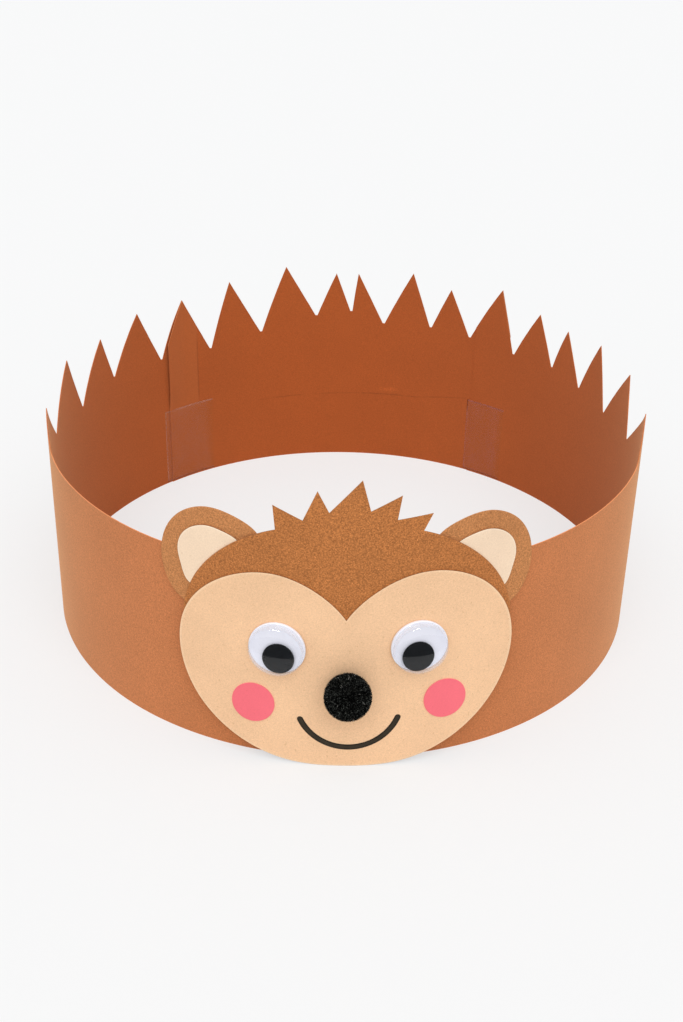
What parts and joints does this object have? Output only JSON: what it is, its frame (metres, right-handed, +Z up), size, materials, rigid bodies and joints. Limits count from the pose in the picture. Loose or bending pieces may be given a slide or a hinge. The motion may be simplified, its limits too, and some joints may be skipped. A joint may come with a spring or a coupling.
{
  "type": "paper crown headband",
  "caption": "Paper ring cut into spikes round the back, with a card hedgehog head, pompom nose and wiggle eyes glued on the front.",
  "frame": {"origin": "on the ring's axis, level with the flat lower edge that the crown stands on", "axes": "+Z up along the ring's axis, -Y towards the hedgehog's face, +X towards the face's right-hand ear as seen from the front"},
  "size_m": [0.1754, 0.1897, 0.0849],
  "materials": {
    "band_card": "matt construction paper, fine grain",
    "head_card": "matt golden-brown card, mottled grain",
    "cream_card": "matt cream card with small flecks",
    "pink_paper": "matt coral-pink paper",
    "dark_ink": "dark marker ink",
    "black_pompom": "short cut pile",
    "eye_white": "smooth white plastic",
    "eye_clear": "clear moulded plastic",
    "eye_black": "smooth black plastic",
    "clear_tape": "thin clear film, slightly cloudy"
  },
  "bodies": {
    "crown": {"front_band": "band_card", "back_band": "band_card", "left_seam_tape": "clear_tape", "right_seam_tape": "clear_tape", "left_ear": "head_card", "right_ear": "head_card", "left_inner_ear": "cream_card", "right_inner_ear": "cream_card", "head_card": "head_card", "face_card": "cream_card", "left_cheek": "pink_paper", "right_cheek": "pink_paper", "mouth": "dark_ink", "nose_pompom": "black_pompom", "left_eye_back": "eye_white", "left_eye_dome": "eye_clear", "right_eye_back": "eye_white", "right_eye_dome": "eye_clear"},
    "left_pupil": {"left_pupil": "eye_black"},
    "right_pupil": {"right_pupil": "eye_black"}
  },
  "joints": [
    {"name": "left_pupil_roll", "type": "hinge", "parent": "crown", "child": "left_pupil", "pos_m": [-0.01637, -0.0882, 0.03612], "axis": [-0.1843, -0.9822, 0.0355], "continuous": true},
    {"name": "right_pupil_roll", "type": "hinge", "parent": "crown", "child": "right_pupil", "pos_m": [0.01994, -0.08742, 0.03712], "axis": [0.2241, -0.9739, 0.0355], "continuous": true}
  ]
}
